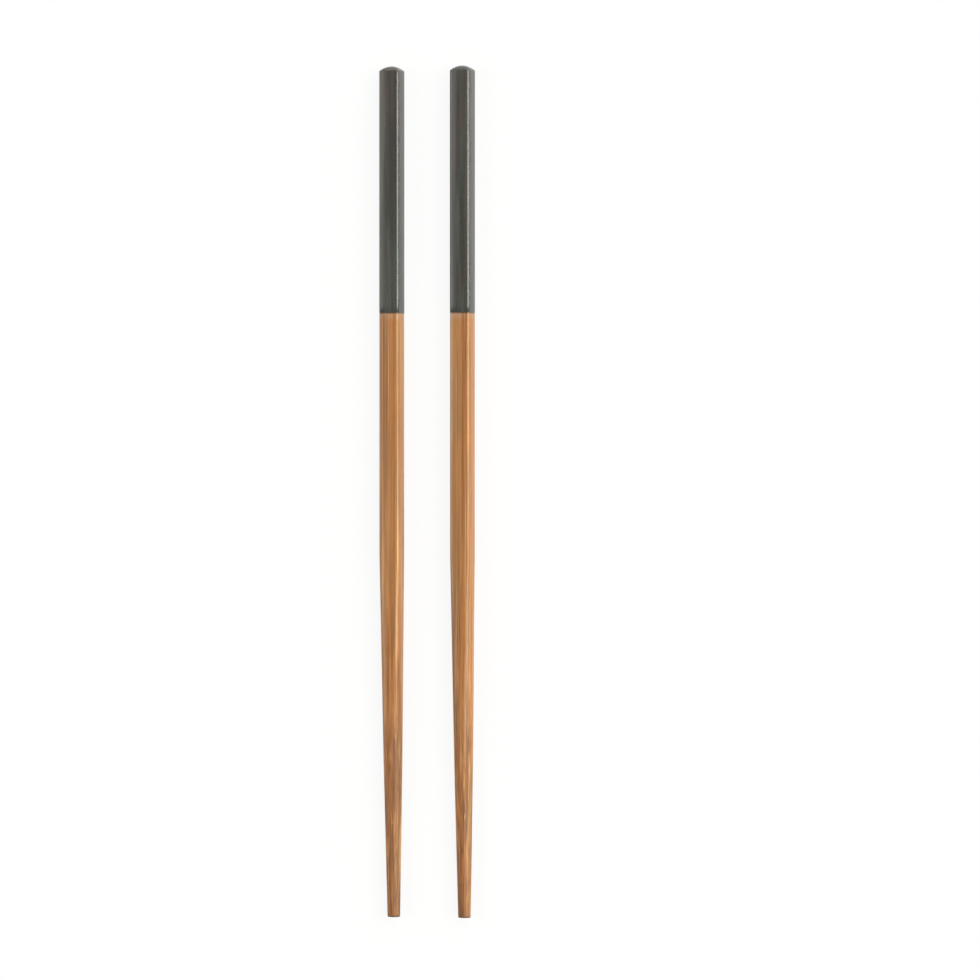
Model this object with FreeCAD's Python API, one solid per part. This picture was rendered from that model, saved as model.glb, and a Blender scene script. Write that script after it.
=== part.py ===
import FreeCAD, Part
import math
import os

# A pair of bamboo chopsticks with a lacquered handle, lying side by side on a table top.
# Each stick is one piece of bamboo. It starts as a square bar. Each face has a flat land
# along its middle and eases down to softened arrises. A long cone is ground onto the bar, a
# little off its axis, so the arrises fade out first, then the lands, and the last part of the
# taper is round. The handle end is a low pillow dome. The coat of colour on the handle ends in
# a fine step.
# Millimetres. +Y runs from the tips to the handle ends, +Z is up, the table top is z = 0,
# and the origin is the centre of the pair's footprint.

# Driving sizes of one stick
stick_length = 240.0
face_to_face = 6.0
arris_radius = 0.75
face_crown = 0.08
face_land_width = 2.2
taper_length = 102.0
tip_diameter = 3.55
tip_end_crown = 0.15
tip_edge_radius = 0.3
tip_drift = 0.6
dome_height = 1.4
dome_edge_radius = 0.3
coat_length = 69.5
coat_thickness = 0.05

# Driving size of the pair
stick_spacing = 20.9

# How finely the lofts are ruled
taper_stations = 8
dome_rings = 3

# Places and sizes worked out from the ones above
handle_end_y = stick_length / 2
tip_end_y = -stick_length / 2
taper_start_y = tip_end_y + taper_length
coat_edge_y = handle_end_y - coat_length
dome_rim_y = handle_end_y - dome_height
tip_round_y = tip_end_y + tip_end_crown + 2 * tip_edge_radius
bar_half_width = face_to_face / 2
coat_half_width = bar_half_width + coat_thickness
coat_arris_radius = arris_radius + coat_thickness
axis_height = coat_half_width

# Shares of the distance from the stick's axis to the arris centre of a plain square, and the
# angle that a face turns through between its land and an arris
plain_centre = bar_half_width - arris_radius
arris_centre_share = 1 - face_crown / plain_centre
land_share = face_land_width / 2 / plain_centre
face_turn = 2 * math.atan((1 - arris_centre_share) / (arris_centre_share - land_share))


def vector(x, y, z):
    return FreeCAD.Vector(x, y, z)


def arris_reach(half_width, radius):
    """Distance from the stick's axis to the crest of an arris."""
    return math.sqrt(2) * arris_centre_share * (half_width - radius) + radius


def arris_radius_for(half_width, reach):
    """Arris radius that gives a section this reach; it grows until the section is round."""
    diagonal = math.sqrt(2) * arris_centre_share
    return (diagonal * half_width - reach) / (diagonal - 1)


def arc(centre_x, centre_z, radius, start, end):
    """Arc in the plane across the stick, with its angles counted from +Z towards +X."""
    ends = [vector(centre_x + radius * math.sin(angle), 0, centre_z + radius * math.cos(angle))
            for angle in (start, (start + end) / 2, end)]
    return Part.Arc(*ends).toShape()


def closed_outline(quarter, x, y):
    """Outline across the stick from the edges of one face and one arris, turned to all four."""
    edges = []
    for side in range(4):
        for edge in quarter:
            turned = edge.copy()
            turned.rotate(vector(0, 0, 0), vector(0, 1, 0), 90 * side)
            edges.append(turned)
    wire = Part.Wire(edges)
    wire.translate(vector(x, y, 0))
    return wire


def square_outline(half_width, radius, x, y):
    """Soft square: flat lands, wide arcs that ease each face down, and round arrises."""
    plain = half_width - radius
    centre = plain * arris_centre_share
    land = plain * land_share
    ease_radius = radius + (centre - land) / math.sin(face_turn)
    ease_centre_z = half_width - ease_radius
    quarter = [arc(-land, ease_centre_z, ease_radius, -face_turn, 0),
               Part.makeLine(vector(-land, 0, half_width), vector(land, 0, half_width)),
               arc(land, ease_centre_z, ease_radius, 0, face_turn),
               arc(centre, centre, radius, face_turn, math.pi / 2 - face_turn)]
    return closed_outline(quarter, x, y)


def round_outline(radius, x, y):
    """Circle, split into as many edges as the soft square so that the two can be lofted."""
    ends = (-2 * face_turn, -face_turn, face_turn, 2 * face_turn, math.pi / 2 - 2 * face_turn)
    quarter = [arc(0, 0, radius, start, end) for start, end in zip(ends, ends[1:])]
    return closed_outline(quarter, x, y)


def bar(half_width, radius, start_y, end_y):
    section = Part.Face(square_outline(half_width, radius, 0, start_y))
    return section.extrude(vector(0, end_y - start_y, 0))


def taper_share(y):
    """How far along the taper a place is: 0 where the grinding starts, 1 at the tip."""
    return (taper_start_y - y) / taper_length


def ground_radius(y):
    """Radius of the ground cone, which starts where it first touches the arrises."""
    start = arris_reach(bar_half_width, arris_radius)
    return start + (tip_diameter / 2 - start) * taper_share(y)


def taper():
    """The cone takes the arrises first; once it is inside the faces the section is round."""
    sections = []
    for station in range(taper_stations + 1):
        y = taper_start_y + (tip_round_y - taper_start_y) * station / taper_stations
        drift = tip_drift * taper_share(y)
        half_width = bar_half_width - drift
        reach = ground_radius(y)
        if reach > half_width:
            radius = arris_radius_for(half_width, reach)
            sections.append(square_outline(half_width, radius, drift, y))
        else:
            sections.append(round_outline(reach, drift, y))
    return Part.makeLoft(sections, True, True)


def tip_end():
    """Last stretch of the tip: a blunt crowned end with a rounded edge."""
    tip_radius = tip_diameter / 2
    joint_radius = ground_radius(tip_round_y)
    rim_y = tip_end_y + tip_end_crown
    crown_radius = (tip_radius ** 2 + tip_end_crown ** 2) / (2 * tip_end_crown)
    half_angle = math.asin(tip_radius / crown_radius) / 2
    on_crown = vector(crown_radius * math.sin(half_angle),
                      tip_end_y + crown_radius * (1 - math.cos(half_angle)), 0)
    apex = vector(0, tip_end_y, 0)
    rim = vector(tip_radius, rim_y, 0)
    joint = vector(joint_radius, tip_round_y, 0)
    joint_centre = vector(0, tip_round_y, 0)
    profile = Part.Wire([Part.Arc(apex, on_crown, rim).toShape(), Part.makeLine(rim, joint),
                         Part.makeLine(joint, joint_centre), Part.makeLine(joint_centre, apex)])
    solid = Part.Face(profile).revolve(vector(0, 0, 0), vector(0, 1, 0), 360)
    rims = [edge for edge in solid.Edges
            if edge.isClosed() and abs(edge.BoundBox.YMax - rim_y) < tip_end_crown / 2]
    solid = solid.makeFillet(tip_edge_radius, rims)
    solid.translate(vector(tip_drift * taper_share(tip_round_y), 0, 0))
    return solid


def pillow_dome():
    """Low dome on the handle end, whose rings turn from the bar's outline to a point."""
    dome_radius = (coat_half_width ** 2 + dome_height ** 2) / (2 * dome_height)
    rim_angle = math.asin(coat_half_width / dome_radius)
    rings = []
    for ring in range(dome_rings):
        angle = rim_angle * (1 - ring / dome_rings)
        share = math.sin(angle) / math.sin(rim_angle)
        half_width = coat_half_width * share
        radius = half_width + (coat_arris_radius - coat_half_width) * share ** 2
        y = handle_end_y - dome_radius * (1 - math.cos(angle))
        rings.append(square_outline(half_width, radius, 0, y))
    rings.append(Part.Vertex(0, handle_end_y, 0))
    return Part.makeLoft(rings, True)


def coated_handle():
    handle = bar(coat_half_width, coat_arris_radius, coat_edge_y, dome_rim_y)
    handle = handle.fuse(pillow_dome()).removeSplitter()
    rim = [edge for edge in handle.Edges
           if edge.BoundBox.YMin > dome_rim_y - dome_edge_radius / 10
           and edge.BoundBox.YMax < dome_rim_y + dome_edge_radius / 10]
    return handle.makeFillet(dome_edge_radius, rim)


def chopstick():
    bamboo = bar(bar_half_width, arris_radius, taper_start_y, coat_edge_y)
    stick = coated_handle().fuse([bamboo, taper(), tip_end()])
    stick.translate(vector(0, 0, axis_height))
    return stick


def main():
    os.makedirs("parts", exist_ok=True)
    for name, side in (("chopstick_left", -1), ("chopstick_right", 1)):
        stick = chopstick()
        stick.translate(vector(side * stick_spacing / 2, 0, 0))
        stick.exportStep("parts/" + name + ".step")


main()
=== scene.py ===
import math

import bpy
from mathutils import Matrix, Vector


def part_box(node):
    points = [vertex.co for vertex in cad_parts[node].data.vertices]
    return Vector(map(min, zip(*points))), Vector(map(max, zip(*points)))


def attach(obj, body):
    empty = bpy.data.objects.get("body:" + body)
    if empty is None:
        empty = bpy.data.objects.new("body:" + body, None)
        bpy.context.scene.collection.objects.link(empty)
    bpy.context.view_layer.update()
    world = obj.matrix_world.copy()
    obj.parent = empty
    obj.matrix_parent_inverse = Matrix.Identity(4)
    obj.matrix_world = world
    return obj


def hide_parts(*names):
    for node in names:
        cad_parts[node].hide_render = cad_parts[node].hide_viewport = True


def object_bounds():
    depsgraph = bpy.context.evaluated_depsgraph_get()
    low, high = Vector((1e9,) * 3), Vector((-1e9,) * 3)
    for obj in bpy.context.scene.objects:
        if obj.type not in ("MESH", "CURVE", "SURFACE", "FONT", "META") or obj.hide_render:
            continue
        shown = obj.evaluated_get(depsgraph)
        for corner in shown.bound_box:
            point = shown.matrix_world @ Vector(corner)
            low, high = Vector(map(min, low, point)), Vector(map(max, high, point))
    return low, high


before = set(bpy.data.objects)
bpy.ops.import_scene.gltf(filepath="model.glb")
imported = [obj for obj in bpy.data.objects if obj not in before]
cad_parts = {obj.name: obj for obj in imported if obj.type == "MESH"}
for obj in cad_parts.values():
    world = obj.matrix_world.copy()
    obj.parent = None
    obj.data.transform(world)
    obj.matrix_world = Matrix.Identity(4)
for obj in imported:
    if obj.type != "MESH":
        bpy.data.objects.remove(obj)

# Looks of a pair of bamboo chopsticks with dark grey lacquered handles, on a white table.
# Metres, in the frame of the CAD solids: +Y from the tips to the handle ends, +Z up.

cad_low, cad_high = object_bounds()

mm = 0.001
node_names = ("chopstick_left", "chopstick_right")

# Sizes of a stick. Its length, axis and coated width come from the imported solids.
low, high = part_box(node_names[0])
tip_end_y = low.y
handle_end_y = high.y
coat_half_width = (high.z - low.z) / 2
axis_height = low.z + coat_half_width
coat_thickness = 0.05 * mm
bar_half_width = coat_half_width - coat_thickness
arris_radius = 0.75 * mm
coat_length = 69.5 * mm
taper_length = 102 * mm
tip_radius = 1.775 * mm
tip_end_crown = 0.15 * mm
tip_edge_radius = 0.3 * mm
tip_drift = 0.6 * mm
dome_height = 1.4 * mm
dome_edge_radius = 0.3 * mm

# The faces are crowned nearly all across, as the highlights on them show. The solids have
# wider lands to stand on, and lie up to 0.024 mm further out beside the middle of a face.
face_crown = 0.08 * mm
face_land_width = 0.4 * mm

taper_start_y = tip_end_y + taper_length
coat_edge_y = handle_end_y - coat_length
plain_centre = bar_half_width - arris_radius
arris_centre_share = 1 - face_crown / plain_centre
land_share = face_land_width / 2 / plain_centre
face_turn = 2 * math.atan((1 - arris_centre_share) / (arris_centre_share - land_share))

# The coat is a thin closed skin that stands this far off the bamboo on its inner side
skin_gap = 0.01 * mm
lip_round = 0.02 * mm

# Fineness of the meshes. The angles are degrees round the axis, from the middle of a face.
face_angles = (0, 6, 12, 18, 22, 26, 30, 33, 35.5)
arris_first_angle = 37
arris_angle_step = 1
bar_ring_pitch = 2 * mm
taper_ring_pitch = 1 * mm
dome_steps = 14
edge_steps = 6
crown_steps = 5

# Colours of bamboo and coat. Each stop is a place on a noise or across a stick, and a colour.
# Those named tint or tints multiply the colour under them.
bamboo_colours = ((0.38, (0.200, 0.075, 0.022)), (0.46, (0.290, 0.121, 0.038)),
                  (0.54, (0.360, 0.160, 0.055)), (0.64, (0.475, 0.245, 0.106)))
blush_tints = ((0.36, (0.88, 0.93, 0.98)), (0.50, (1.0, 1.0, 1.0)), (0.64, (1.12, 1.07, 0.98)))
flame_tints = ((0.34, (0.62, 0.53, 0.42)), (0.46, (0.84, 0.79, 0.70)),
               (0.58, (0.98, 0.94, 0.84)), (0.70, (1.28, 1.28, 1.20)))
dash_tints = ((0.34, (0.68, 0.57, 0.47)), (0.45, (0.94, 0.91, 0.88)),
              (0.56, (1.04, 1.04, 1.04)), (0.68, (1.24, 1.30, 1.36)))
# Painted light and shade across a stick, from its left side to its right: on the bar the left is darker
# and less red and the right side lighter and golden; on the taper both sides are lighter than the
# middle and the right side bluer; near the tip the left is lighter and the right darker.
bar_painted_light_tints = ((0.03, (0.80, 0.89, 0.97)), (0.55, (1.0, 1.0, 1.0)),
                  (0.84, (1.07, 1.05, 1.02)), (0.95, (1.18, 1.13, 0.82)))
taper_painted_light_tints = ((0.0, (1.18, 1.20, 1.12)), (0.34, (0.82, 0.78, 0.69)),
                    (0.60, (0.80, 0.77, 0.66)), (0.82, (1.24, 1.31, 1.31)),
                    (1.0, (1.17, 1.34, 1.62)))
far_taper_painted_light_tints = ((0.10, (1.32, 1.34, 1.28)), (0.30, (1.28, 1.27, 1.20)),
                  (0.48, (1.14, 1.10, 1.02)), (0.60, (0.88, 0.83, 0.75)),
                  (0.74, (0.72, 0.64, 0.55)), (0.88, (0.76, 0.69, 0.60)),
                  (1.0, (0.88, 0.90, 0.88)))
chip_colour = (0.62, 0.44, 0.20)
# Painted highlight: a paler, bluer tint along the arrises.
painted_highlight_tint = (1.04, 1.16, 1.50)
bare_edge_tint = (1.03, 1.27, 2.1)
# Painted shadow: a thin dark line on the bamboo just below the coat's edge.
painted_edge_shadow_colour = (0.055, 0.030, 0.018)
end_grain_colours = ((0.16, (0.045, 0.022, 0.012)), (0.36, (0.105, 0.058, 0.031)))
coat_colours = ((0.42, (0.052, 0.042, 0.038)), (0.50, (0.046, 0.043, 0.038)),
                (0.58, (0.040, 0.044, 0.037)))
coat_depth_tints = ((0.36, (0.78, 0.78, 0.78)), (0.50, (1.0, 1.0, 1.0)), (0.64, (1.26, 1.26, 1.26)))

# Long lines in the grain of both sticks, and one line of painted highlight, in millimetres: place
# across, half width, and the two ends along the stick, with the colour that each one multiplies the
# bamboo by
grain_and_highlight_lines = (
    (-0.08, 0.22, -38, 48, (1.05, 1.10, 1.22)),
    (-0.52, 0.24, -46, 44, (0.80, 0.79, 0.78)),
    # Painted highlight: a pale bluish line just inside the right arris, which widens the highlight
    # there.
    (1.90, 0.40, -28, 34, (1.17, 1.24, 1.30)),
    (2.45, 0.45, -24, 12, (0.84, 0.89, 0.97)),
    (-1.10, 0.46, -40, 54, (0.80, 0.81, 0.81)),
    (0.70, 0.26, -66, -20, (0.86, 0.80, 0.72)),
    (-1.86, 0.38, -40, 54, (1.19, 1.17, 1.15)),
)
line_end_fade = 6
line_wander = 0.5 * mm

# Stretches of the taper over which its looks and painted light change, as distances from its start, and
# the length at the tip over which painted shade darkens it
marks_come_in = (6 * mm, 52 * mm)
painted_light_comes_in = (14 * mm, 60 * mm)
far_painted_light_comes_in = (48 * mm, 72 * mm)
painted_highlight_goes_out = (16 * mm, 30 * mm)
sheen_goes_out = (24 * mm, 62 * mm)
tip_shade_length = 16 * mm

# Bands at the ends of the bare bamboo, as distances from the coat's edge and from the tip
bare_band = (2.3 * mm, 0.7 * mm)
# The second band holds the painted shadow below the coat's edge.
painted_edge_shadow_band = (0.42 * mm, 0.16 * mm)
end_grain_band = (0.3 * mm, 0.8 * mm)

# Where the coat's colour turns, as distances from the end of the handle
cool_handle_length = 40 * mm
cool_dome_band = (dome_height + 0.2 * mm, dome_height - 0.2 * mm)

# How far out the painted highlight on the arrises begins and is full, as the sum of the distances
# across and up from the axis, and how much of that the taper has taken where the painted highlight goes
# out
painted_highlight_begins = 5.10 * mm
painted_highlight_is_full = 5.28 * mm
painted_highlight_ground_off = 0.86 * mm

# Light of the surroundings low down and overhead, and the heights of a direction between
# which one turns into the other
side_light = 0.55
top_light = 0.1
side_light_height = 0.60
top_light_height = 0.95

# The table: how much it glows to the camera, what part of that the gloss of the sticks sees,
# its half width, and how far it lies below the sticks
table_glow = 0.88
table_in_gloss = 0.25
table_half_width = 20.0
table_gap = 0.02 * mm

# Lamps: name, azimuth from +X towards +Y, elevation and width in degrees, and strength. Those
# on the right make the highlight on the arrises. They leave out the heights from 7 to 29
# degrees, from where a lamp would wash out the tops as seen from the left.
lamp_colour = (1.0, 0.995, 0.93)
lamps = (
    ("right_low", 0, 2, 9, 0.4),
    ("right_middle", 0, 38, 18, 0.92),
    ("right_upper", 0, 54, 18, 0.6),
    ("right_high", 0, 70, 16, 0.3),
    ("key", 42, 26, 66, 2.1),
    ("end_light", 90, 28, 40, 0.1),
    ("left_fill", 174, 46, 38, 0.9),
)

# The camera looks down square to the sticks' length, turned about it. The stick's length and
# the middle of the pair are measured on the photo, in its pixels.
camera_turn = math.radians(17.5)
camera_distance = 3.0
sensor_width = 36
photo_pixels = 980
stick_length_pixels = 851.7
pair_pixel = (427.1, 491.8)


def section_angles():
    """Angles round the axis at which every section has a point, closest together on the arrises."""
    half = list(face_angles) + list(range(arris_first_angle, 45, arris_angle_step))
    quarter = half + [45] + [90 - angle for angle in reversed(half[1:])]
    return [math.radians(side * 90 + angle) for side in range(4) for angle in quarter]


def ray_to_circle(angle, centre_x, centre_z, radius):
    """Distance from the axis to the far side of a circle, at an angle from +Z towards +X."""
    along = centre_x * math.sin(angle) + centre_z * math.cos(angle)
    return along + math.sqrt(radius ** 2 - centre_x ** 2 - centre_z ** 2 + along ** 2)


def section_reach(angle, half_width, radius):
    """Distance from the axis to a soft square: flat lands, eased faces and round arrises."""
    plain = half_width - radius
    centre = plain * arris_centre_share
    land = plain * land_share
    angle = angle % (math.pi / 2)
    angle = min(angle, math.pi / 2 - angle)
    if math.tan(angle) * half_width <= land:
        return half_width / math.cos(angle)
    ease_radius = radius + (centre - land) / math.sin(face_turn)
    arris_x = centre + radius * math.sin(face_turn)
    arris_z = centre + radius * math.cos(face_turn)
    if math.tan(angle) <= arris_x / arris_z:
        return ray_to_circle(angle, land, half_width - ease_radius, ease_radius)
    return ray_to_circle(angle, centre, centre, radius)


def ring(half_width, radius, x, y):
    """Points of a section; it is round where the radius is the half width."""
    points = []
    for angle in section_angles():
        reach = section_reach(angle, half_width, radius)
        points.append((x + reach * math.sin(angle), y, reach * math.cos(angle)))
    return points


def skin_of_rings(rings, start_point=None, end_point=None):
    """Mesh data from rings in order, closed at an end that is given a point."""
    count = len(rings[0])
    vertices = [point for points in rings for point in points]
    faces = []
    for index in range(len(rings) - 1):
        a, b = index * count, (index + 1) * count
        for k in range(count):
            n = (k + 1) % count
            faces.append((a + k, a + n, b + n, b + k))
    if start_point is not None:
        vertices.append(start_point)
        faces += [(len(vertices) - 1, (k + 1) % count, k) for k in range(count)]
    if end_point is not None:
        last = (len(rings) - 1) * count
        vertices.append(end_point)
        faces += [(len(vertices) - 1, last + k, last + (k + 1) % count) for k in range(count)]
    return vertices, faces


def spread(start, end, pitch):
    """Evenly spaced values from start to end, both included, about a pitch apart."""
    count = max(2, round(abs(end - start) / pitch) + 1)
    return [start + (end - start) * index / (count - 1) for index in range(count)]


def ground_radius(share):
    """Radius of the ground cone at a share of the taper."""
    start = math.sqrt(2) * plain_centre * arris_centre_share + arris_radius
    return start + (tip_radius - start) * share


def taper_ring(y):
    """The grinding takes the arrises first, and the section is round once it is inside the faces."""
    share = (taper_start_y - y) / taper_length
    drift = tip_drift * share
    reach = ground_radius(share)
    half_width = min(bar_half_width - drift, reach)
    diagonal = math.sqrt(2) * arris_centre_share
    radius = (diagonal * half_width - reach) / (diagonal - 1)
    return ring(half_width, radius, drift, y)


def tip_rings():
    """Blunt end of the tip, from the middle of its shallow crown round the edge to the side."""
    crown_radius = (tip_radius ** 2 + tip_end_crown ** 2) / (2 * tip_end_crown)
    edge_x = tip_radius - tip_edge_radius
    edge_y = crown_radius - math.sqrt((crown_radius - tip_edge_radius) ** 2 - edge_x ** 2)
    crown_angle = math.asin(edge_x / (crown_radius - tip_edge_radius))
    profile = []
    for step in range(1, crown_steps):
        angle = crown_angle * step / crown_steps
        profile.append((crown_radius * math.sin(angle), crown_radius * (1 - math.cos(angle))))
    for step in range(edge_steps + 1):
        angle = crown_angle + (math.pi / 2 - crown_angle) * step / edge_steps
        profile.append((edge_x + tip_edge_radius * math.sin(angle),
                        edge_y - tip_edge_radius * math.cos(angle)))
    return [ring(radius, radius, tip_drift, tip_end_y + y) for radius, y in profile]


def dome_rings(half_width, radius, apex_y):
    """Pillow dome from just below its rim towards its top, with a softened edge at the rim."""
    dome_radius = (half_width ** 2 + dome_height ** 2) / (2 * dome_height)
    dome_centre = apex_y - dome_radius
    edge_x = half_width - dome_edge_radius
    edge_y = dome_centre + math.sqrt((dome_radius - dome_edge_radius) ** 2 - edge_x ** 2)
    edge_angle = math.asin(edge_x / (dome_radius - dome_edge_radius))
    profile = []
    for step in range(edge_steps + 1):
        angle = math.pi / 2 + (edge_angle - math.pi / 2) * step / edge_steps
        profile.append((edge_x + dome_edge_radius * math.sin(angle),
                        edge_y + dome_edge_radius * math.cos(angle)))
    for step in range(1, dome_steps):
        angle = edge_angle * (1 - step / dome_steps)
        profile.append((dome_radius * math.sin(angle), dome_centre + dome_radius * math.cos(angle)))
    rings = []
    for x, y in profile:
        share = x / half_width
        rings.append(ring(x, x + (radius - half_width) * share ** 2, 0, y))
    return rings


def mesh_piece(name, vertices, faces, axis_x, material):
    """Smooth-shaded piece built about a stick's own axis and moved to its place."""
    mesh = bpy.data.meshes.new(name)
    mesh.from_pydata([(x + axis_x, y, z + axis_height) for x, y, z in vertices], [], faces)
    mesh.validate()
    mesh.polygons.foreach_set("use_smooth", [True] * len(mesh.polygons))
    mesh.materials.append(material)
    piece = bpy.data.objects.new(name, mesh)
    bpy.context.scene.collection.objects.link(piece)
    return piece


def bamboo_stick(name, axis_x, material):
    """The whole stick of bamboo, from the tip to the dome under the coat."""
    dome = dome_rings(bar_half_width, arris_radius, handle_end_y - coat_thickness)
    tip = tip_rings()
    rings = list(tip)
    rings += [taper_ring(y) for y in spread(tip[-1][0][1], taper_start_y, taper_ring_pitch)[1:]]
    rings += [ring(bar_half_width, arris_radius, 0, y)
              for y in spread(taper_start_y, dome[0][0][1], bar_ring_pitch)[1:-1]]
    rings += dome
    vertices, faces = skin_of_rings(rings, (tip_drift, tip_end_y, 0),
                                    (0, handle_end_y - coat_thickness, 0))
    return mesh_piece(name, vertices, faces, axis_x, material)


def lacquer_coat(name, axis_x, material):
    """The coat on the handle: a thin closed skin, outside first, with a rounded lip."""
    inner_half_width = bar_half_width + skin_gap
    inner_radius = arris_radius + skin_gap
    inner_apex_y = handle_end_y - coat_thickness + skin_gap
    radius = arris_radius + coat_thickness
    outer_dome = dome_rings(coat_half_width, radius, handle_end_y)
    inner_dome = dome_rings(inner_half_width, inner_radius, inner_apex_y)
    outer = [ring(coat_half_width - lip_round, radius - lip_round, 0, coat_edge_y),
             ring(coat_half_width - lip_round / 3, radius - lip_round / 3, 0,
                  coat_edge_y + lip_round / 3)]
    outer += [ring(coat_half_width, radius, 0, y)
              for y in spread(coat_edge_y + lip_round, outer_dome[0][0][1], bar_ring_pitch)[:-1]]
    inner = [ring(inner_half_width, inner_radius, 0, y)
             for y in spread(coat_edge_y, inner_dome[0][0][1], bar_ring_pitch)[:-1]]
    outside = skin_of_rings(outer + outer_dome, end_point=(0, handle_end_y, 0))
    inside = skin_of_rings(inner + inner_dome, end_point=(0, inner_apex_y, 0))
    count = len(outer[0])
    offset = len(outside[0])
    vertices = outside[0] + inside[0]
    faces = outside[1] + [tuple(offset + i for i in reversed(face)) for face in inside[1]]
    for k in range(count):
        n = (k + 1) % count
        faces.append((k, offset + k, offset + n, n))
    return mesh_piece(name, vertices, faces, axis_x, material)


class Nodes:
    """Short way to build a material's nodes."""

    def __init__(self, name):
        self.material = bpy.data.materials.new(name)
        self.material.use_nodes = True
        self.tree = self.material.node_tree
        self.tree.nodes.clear()
        self.output = self.tree.nodes.new("ShaderNodeOutputMaterial")

    def add(self, kind, inputs=(), **settings):
        node = self.tree.nodes.new("ShaderNode" + kind)
        for key, value in settings.items():
            setattr(node, key, value)
        for socket, value in dict(inputs).items():
            self.give(node.inputs[socket], value)
        return node

    def give(self, socket, value):
        if isinstance(value, bpy.types.NodeSocket):
            self.tree.links.new(value, socket)
        else:
            socket.default_value = value

    def maths(self, operation, a, b=0.0):
        return self.add("Math", {0: a, 1: b}, operation=operation).outputs[0]

    def plus(self, a, b):
        return self.maths("ADD", a, b)

    def times(self, a, b):
        return self.maths("MULTIPLY", a, b)

    def ramp(self, value, stops):
        node = self.add("ValToRGB", {"Fac": value})
        elements = node.color_ramp.elements
        while len(elements) < len(stops):
            elements.new(0.5)
        for element, (position, colour) in zip(elements, stops):
            element.position = position
            element.color = (*colour, 1)
        return node.outputs["Color"]

    def span(self, value, from_low, from_high, to_low, to_high):
        """Value moved from one range to another, held at the ends."""
        return self.add("MapRange", {"Value": value, "From Min": from_low, "From Max": from_high,
                                     "To Min": to_low, "To Max": to_high}, clamp=True).outputs[0]

    def mix(self, share, a, b, blend="MIX"):
        """Colour a moved to b by a share. A plain colour is given by its red, green and blue."""
        node = self.add("Mix", {"Factor": share}, data_type="RGBA", blend_type=blend)
        for socket, colour in ((6, a), (7, b)):
            self.give(node.inputs[socket], (*colour, 1) if isinstance(colour, tuple) else colour)
        return node.outputs[2]

    def tint(self, colour, by, share=1.0):
        """Colour multiplied by another one, by a share."""
        return self.mix(share, colour, by, "MULTIPLY")

    def surface(self, shader, relief, strength, depth):
        """Joins the shader and a fine relief to the material, and gives the material."""
        bump = self.add("Bump", {"Strength": strength, "Distance": depth, "Height": relief})
        self.give(shader.inputs["Normal"], bump.outputs[0])
        self.give(self.output.inputs[0], shader.outputs[0])
        return self.material


class Place:
    """Where a point lies on a stick: about the stick's own axis, in metres."""

    def __init__(self, nodes, axis_x, shift):
        self.nodes = nodes
        self.shift = shift
        place = nodes.add("TexCoord").outputs["Object"]
        self.local = nodes.add("Mapping", {"Vector": place,
                                           "Location": (-axis_x, 0, -axis_height)}).outputs[0]
        parts = nodes.add("SeparateXYZ", {0: self.local}).outputs
        self.across, self.along, self.height = parts["X"], parts["Y"], parts["Z"]

    def stretched(self, across, along, shift=None):
        """Coordinates in which one unit is so many metres across and along the stick."""
        scale = (1 / across, 1 / along, 1 / across)
        return self.nodes.add("Mapping", {"Vector": self.local, "Scale": scale,
                                          "Location": shift or self.shift}).outputs[0]

    def noise(self, across, along, detail=2.0, roughness=0.5, distortion=0.0, shift=None):
        """Noise with marks about this wide across the stick and this long along it."""
        vector = self.stretched(across, along, shift)
        return self.nodes.add("TexNoise", {"Vector": vector, "Scale": 1.0, "Detail": detail,
                                           "Roughness": roughness,
                                           "Distortion": distortion}).outputs["Fac"]

    def rising(self, start, end, top=1.0):
        """0 up to one place along the stick, and the top value from another one on."""
        return self.nodes.span(self.along, start, end, 0.0, top)

    def falling(self, start, end, top=1.0):
        """The top value up to one place along the stick, and 0 from another one on."""
        return self.nodes.span(self.along, start, end, top, 0.0)

    def down_taper(self, stretch, top=1.0):
        """0 on the bar, and the top value beyond a stretch of the taper."""
        first, last = stretch
        return self.falling(taper_start_y - last, taper_start_y - first, top)

    def up_taper(self, stretch):
        """1 on the bar, and 0 beyond a stretch of the taper."""
        first, last = stretch
        return self.rising(taper_start_y - last, taper_start_y - first)


def taper_marks(nodes, place, colour, seed):
    """Flames, dashes and a few pale chips, where the ground cone cuts through the grain."""
    share = place.down_taper(marks_come_in)
    flame = place.noise(0.85 * mm, 16 * mm, roughness=0.55, distortion=0.5)
    dash = place.noise(0.34 * mm, 7 * mm, detail=3.0, roughness=0.6, distortion=0.3)
    marks = nodes.tint(nodes.ramp(dash, dash_tints), nodes.ramp(flame, flame_tints))
    colour = nodes.tint(colour, marks, share)
    chip = place.noise(0.55 * mm, 5 * mm, detail=1.0, shift=(9.1, seed * 2.3, 4.7))
    chipped = nodes.times(share, nodes.span(chip, 0.74, 0.79, 0.0, 0.45))
    return nodes.mix(chipped, colour, chip_colour)


def long_lines(nodes, place, colour):
    """Pale and dark lines of the grain, and a pale line of painted highlight, which wander a little."""
    wander = nodes.maths("SUBTRACT", place.noise(8 * mm, 14 * mm, detail=1.0), 0.5)
    drawn = nodes.plus(place.across, nodes.times(wander, line_wander))
    for line_place, half_width, start, end, tint in grain_and_highlight_lines:
        far = nodes.maths("ABSOLUTE", nodes.maths("SUBTRACT", drawn, line_place * mm))
        line = nodes.span(far, 0.0, half_width * mm, 1.0, 0.0)
        line = nodes.times(line, place.rising(start * mm, (start + line_end_fade) * mm))
        line = nodes.times(line, place.falling((end - line_end_fade) * mm, end * mm))
        colour = nodes.tint(colour, tint, line)
    return colour


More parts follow.
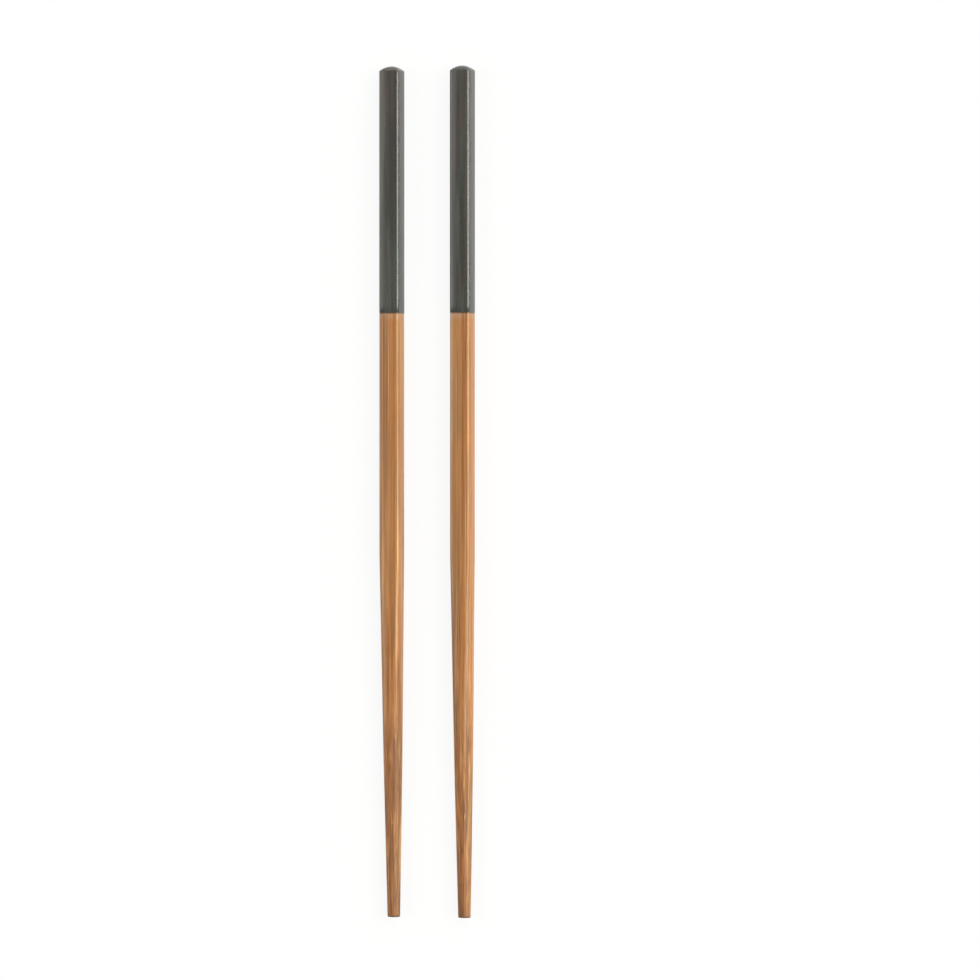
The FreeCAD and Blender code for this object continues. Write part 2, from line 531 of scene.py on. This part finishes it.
def painted_side_light(nodes, place, colour):
    """Painted light and shade: each side of a stick tinted lighter or darker as the lamps fall on it,
    and the taper darker towards the tip.
    """
    radius = nodes.span(place.along, tip_end_y, taper_start_y, tip_radius, bar_half_width)
    side = nodes.plus(nodes.times(nodes.maths("DIVIDE", place.across, radius), 0.5), 0.5)
    taper_painted_light = nodes.ramp(side, taper_painted_light_tints)
    taper_painted_light = nodes.tint(taper_painted_light, nodes.ramp(side, far_taper_painted_light_tints),
                            place.down_taper(far_painted_light_comes_in))
    # Painted shade: the last stretch of the taper is darker towards the tip.
    tip_shade = nodes.span(place.along, tip_end_y, tip_end_y + tip_shade_length, 0.82, 1.0)
    taper_painted_light = nodes.tint(taper_painted_light, tip_shade)
    tone = nodes.mix(place.down_taper(painted_light_comes_in), nodes.ramp(side, bar_painted_light_tints), taper_painted_light)
    return nodes.tint(colour, tone)


def paint_arris_highlight(nodes, place, colour):
    """Painted highlight: arrises tinted paler and bluer, down to where the grinding has taken them."""
    reach = nodes.plus(nodes.maths("ABSOLUTE", place.across), nodes.maths("ABSOLUTE", place.height))
    reach = nodes.plus(reach, place.falling(taper_start_y - painted_highlight_goes_out[1], taper_start_y,
                                            painted_highlight_ground_off))
    painted_highlight = nodes.span(reach, painted_highlight_begins, painted_highlight_is_full, 0.0, 1.0)
    return nodes.tint(colour, painted_highlight_tint, nodes.times(painted_highlight, place.up_taper(painted_highlight_goes_out)))


def both_ends(nodes, place, colour, blush):
    """Pale bare wood and a fine painted shadow under the edge of the coat, and end grain at the tip."""
    bare = place.rising(coat_edge_y - bare_band[0], coat_edge_y - bare_band[1])
    bare = nodes.times(bare, nodes.span(blush, 0.42, 0.56, 0.55, 1.0))
    colour = nodes.tint(colour, bare_edge_tint, bare)
    # Painted shadow: a thin dark line just below the coat's edge.
    painted_edge_shadow = place.rising(coat_edge_y - painted_edge_shadow_band[0], coat_edge_y - painted_edge_shadow_band[1], 0.85)
    colour = nodes.mix(painted_edge_shadow, colour, painted_edge_shadow_colour)
    bundles = nodes.add("TexVoronoi", {"Vector": place.stretched(0.38 * mm, 40 * mm),
                                       "Scale": 1.0}).outputs["Distance"]
    end_grain = place.falling(tip_end_y + end_grain_band[0], tip_end_y + end_grain_band[1], 0.85)
    return nodes.mix(end_grain, colour, nodes.ramp(bundles, end_grain_colours))


def bamboo_material(name, axis_x, seed):
    """Heat-browned bamboo under a thin satin varnish, with solid grain along the stick."""
    nodes = Nodes(name)
    place = Place(nodes, axis_x, (seed * 7.3, seed * 3.1, seed * 5.7))
    strand = place.noise(0.95 * mm, 110 * mm)
    thread = place.noise(0.38 * mm, 55 * mm, roughness=0.6)
    fibre = place.noise(0.14 * mm, 12 * mm, roughness=0.6)
    blush = place.noise(1.6 * mm, 24 * mm)
    tone = nodes.plus(nodes.times(strand, 0.42), nodes.times(thread, 0.42))
    tone = nodes.plus(tone, nodes.times(fibre, 0.16))
    colour = nodes.tint(nodes.ramp(tone, bamboo_colours), nodes.ramp(blush, blush_tints))
    colour = taper_marks(nodes, place, colour, seed)
    colour = long_lines(nodes, place, colour)
    colour = painted_side_light(nodes, place, colour)
    colour = paint_arris_highlight(nodes, place, colour)
    colour = both_ends(nodes, place, colour, blush)

    sheen = nodes.span(thread, 0.3, 0.7, 0.36, 0.30)
    dulled = place.down_taper(sheen_goes_out, 0.2)
    shader = nodes.add("BsdfPrincipled", {"Base Color": colour, "IOR": 1.5,
                                          "Specular IOR Level": 0.45,
                                          "Roughness": nodes.plus(sheen, dulled)})
    relief = nodes.plus(nodes.times(thread, 0.6), nodes.times(fibre, 0.4))
    return nodes.surface(shader, relief, strength=0.25, depth=0.03 * mm)


def coat_material(name, axis_x, seed):
    """Warm dark grey lacquer with the grain of the bamboo showing through as faint waves."""
    nodes = Nodes(name)
    place = Place(nodes, axis_x, (seed * 2.9, seed * 6.1, seed * 4.3))
    wave = place.noise(0.8 * mm, 30 * mm)
    cloud = place.noise(2.2 * mm, 16 * mm)
    ripple = place.noise(0.9 * mm, 0.7 * mm)
    depth = place.noise(1.3 * mm, 26 * mm, shift=(seed * 3.7, 5.3, 8.9))

    # The coat turns cooler away from its end, and cooler again over the dome
    cool = nodes.plus(nodes.times(wave, 0.5), nodes.times(cloud, 0.5))
    cool = nodes.plus(cool, nodes.span(place.along, handle_end_y - cool_handle_length, handle_end_y,
                                       0.06, -0.08))
    cool = nodes.plus(cool, place.rising(handle_end_y - cool_dome_band[0],
                                         handle_end_y - cool_dome_band[1], 0.12))
    colour = nodes.tint(nodes.ramp(cool, coat_colours), nodes.ramp(depth, coat_depth_tints))
    shader = nodes.add("BsdfPrincipled", {"Base Color": colour, "IOR": 1.58,
                                          "Roughness": nodes.span(cloud, 0.3, 0.7, 0.22, 0.30)})
    relief = nodes.plus(nodes.times(wave, 0.8), nodes.times(ripple, 0.2))
    return nodes.surface(shader, relief, strength=0.3, depth=0.04 * mm)


def floor_material():
    """White table that glows to the camera, less so in gloss, and still takes a soft shadow."""
    nodes = Nodes("white_table")
    path = nodes.add("LightPath").outputs
    gloss = nodes.times(path["Is Glossy Ray"], table_in_gloss)
    seen = nodes.maths("MAXIMUM", path["Is Camera Ray"], gloss)
    table = nodes.add("BsdfDiffuse", {"Color": (0.8, 0.8, 0.8, 1)})
    glow = nodes.add("Emission", {"Color": (1, 1, 1, 1), "Strength": 1.0})
    share = nodes.times(seen, table_glow)
    mixed = nodes.add("MixShader", {0: share, 1: table.outputs[0], 2: glow.outputs[0]})
    nodes.give(nodes.output.inputs[0], mixed.outputs[0])
    return nodes.material


def make_floor():
    """Wide flat table just below the sticks."""
    half = table_half_width
    mesh = bpy.data.meshes.new("floor")
    mesh.from_pydata([(-half, -half, 0), (half, -half, 0), (half, half, 0), (-half, half, 0)], [],
                     [(0, 1, 2, 3)])
    mesh.materials.append(floor_material())
    floor = bpy.data.objects.new("floor", mesh)
    floor.location.z = cad_low.z - table_gap
    bpy.context.scene.collection.objects.link(floor)


def background(tree, strength):
    """White background shader; its strength is a number or comes from another node."""
    node = tree.nodes.new("ShaderNodeBackground")
    node.inputs["Color"].default_value = (1, 1, 1, 1)
    if isinstance(strength, bpy.types.NodeSocket):
        tree.links.new(strength, node.inputs["Strength"])
    else:
        node.inputs["Strength"].default_value = strength
    return node.outputs[0]


def make_world():
    """Pale surroundings, brighter low down than overhead, and white to the camera."""
    world = bpy.data.worlds.new("surroundings")
    bpy.context.scene.world = world
    world.use_nodes = True
    tree = world.node_tree
    tree.nodes.clear()
    direction = tree.nodes.new("ShaderNodeTexCoord")
    height = tree.nodes.new("ShaderNodeSeparateXYZ")
    tree.links.new(direction.outputs["Generated"], height.inputs[0])
    fall = tree.nodes.new("ShaderNodeMapRange")
    fall.interpolation_type = "SMOOTHSTEP"
    fall.inputs["From Min"].default_value = side_light_height
    fall.inputs["From Max"].default_value = top_light_height
    fall.inputs["To Min"].default_value = side_light
    fall.inputs["To Max"].default_value = top_light
    tree.links.new(height.outputs["Z"], fall.inputs["Value"])
    path = tree.nodes.new("ShaderNodeLightPath")
    mixed = tree.nodes.new("ShaderNodeMixShader")
    tree.links.new(path.outputs["Is Camera Ray"], mixed.inputs[0])
    tree.links.new(background(tree, fall.outputs[0]), mixed.inputs[1])
    tree.links.new(background(tree, 1.0), mixed.inputs[2])
    output = tree.nodes.new("ShaderNodeOutputWorld")
    tree.links.new(mixed.outputs[0], output.inputs[0])


def make_lamp(name, azimuth, elevation, width, strength):
    """Far lamp that shines from a direction and looks so many degrees wide."""
    lamp = bpy.data.lights.new(name, "SUN")
    lamp.energy = strength
    lamp.angle = math.radians(width)
    lamp.color = lamp_colour
    placed = bpy.data.objects.new(name, lamp)
    a, e = math.radians(azimuth), math.radians(elevation)
    towards = Vector((math.cos(a) * math.cos(e), math.sin(a) * math.cos(e), math.sin(e)))
    placed.rotation_mode = "QUATERNION"
    placed.rotation_quaternion = towards.to_track_quat("Z", "Y")
    bpy.context.scene.collection.objects.link(placed)


def make_camera():
    """Long lens square to the sticks' length, turned about it so that one side face shows."""
    pixel = (handle_end_y - tip_end_y) / stick_length_pixels
    camera_data = bpy.data.cameras.new("camera")
    camera_data.sensor_width = sensor_width
    camera_data.lens = sensor_width * camera_distance / (photo_pixels * pixel)
    camera_data.clip_start = 0.1
    camera_data.clip_end = 100
    camera = bpy.data.objects.new("camera", camera_data)
    right = Vector((math.cos(camera_turn), 0, -math.sin(camera_turn)))
    up = Vector((0, 1, 0))
    back = right.cross(up)
    aim = Vector((0, 0, axis_height))
    aim += right * (photo_pixels / 2 - pair_pixel[0]) * pixel
    aim += up * (pair_pixel[1] - photo_pixels / 2) * pixel
    turned = Matrix((right, up, back)).transposed().to_4x4()
    camera.matrix_world = Matrix.Translation(aim + back * camera_distance) @ turned
    bpy.context.scene.collection.objects.link(camera)
    bpy.context.scene.camera = camera


def make_sticks():
    """The bamboo and the coat of each stick take the place of its solid."""
    for seed, node in enumerate(node_names):
        node_low, node_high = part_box(node)
        axis_x = (node_low.x + node_high.x) / 2
        bamboo = bamboo_stick(node + "_bamboo", axis_x, bamboo_material(node + "_bamboo", axis_x, seed))
        coat = lacquer_coat(node + "_coat", axis_x, coat_material(node + "_coat", axis_x, seed))
        for piece, slot in ((bamboo, "bamboo"), (coat, "handle_coat")):
            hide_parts(node)
            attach(piece, "root")


make_sticks()
make_floor()
make_world()
for lamp_values in lamps:
    make_lamp(*lamp_values)
make_camera()
bpy.context.scene.view_settings.view_transform = "Standard"
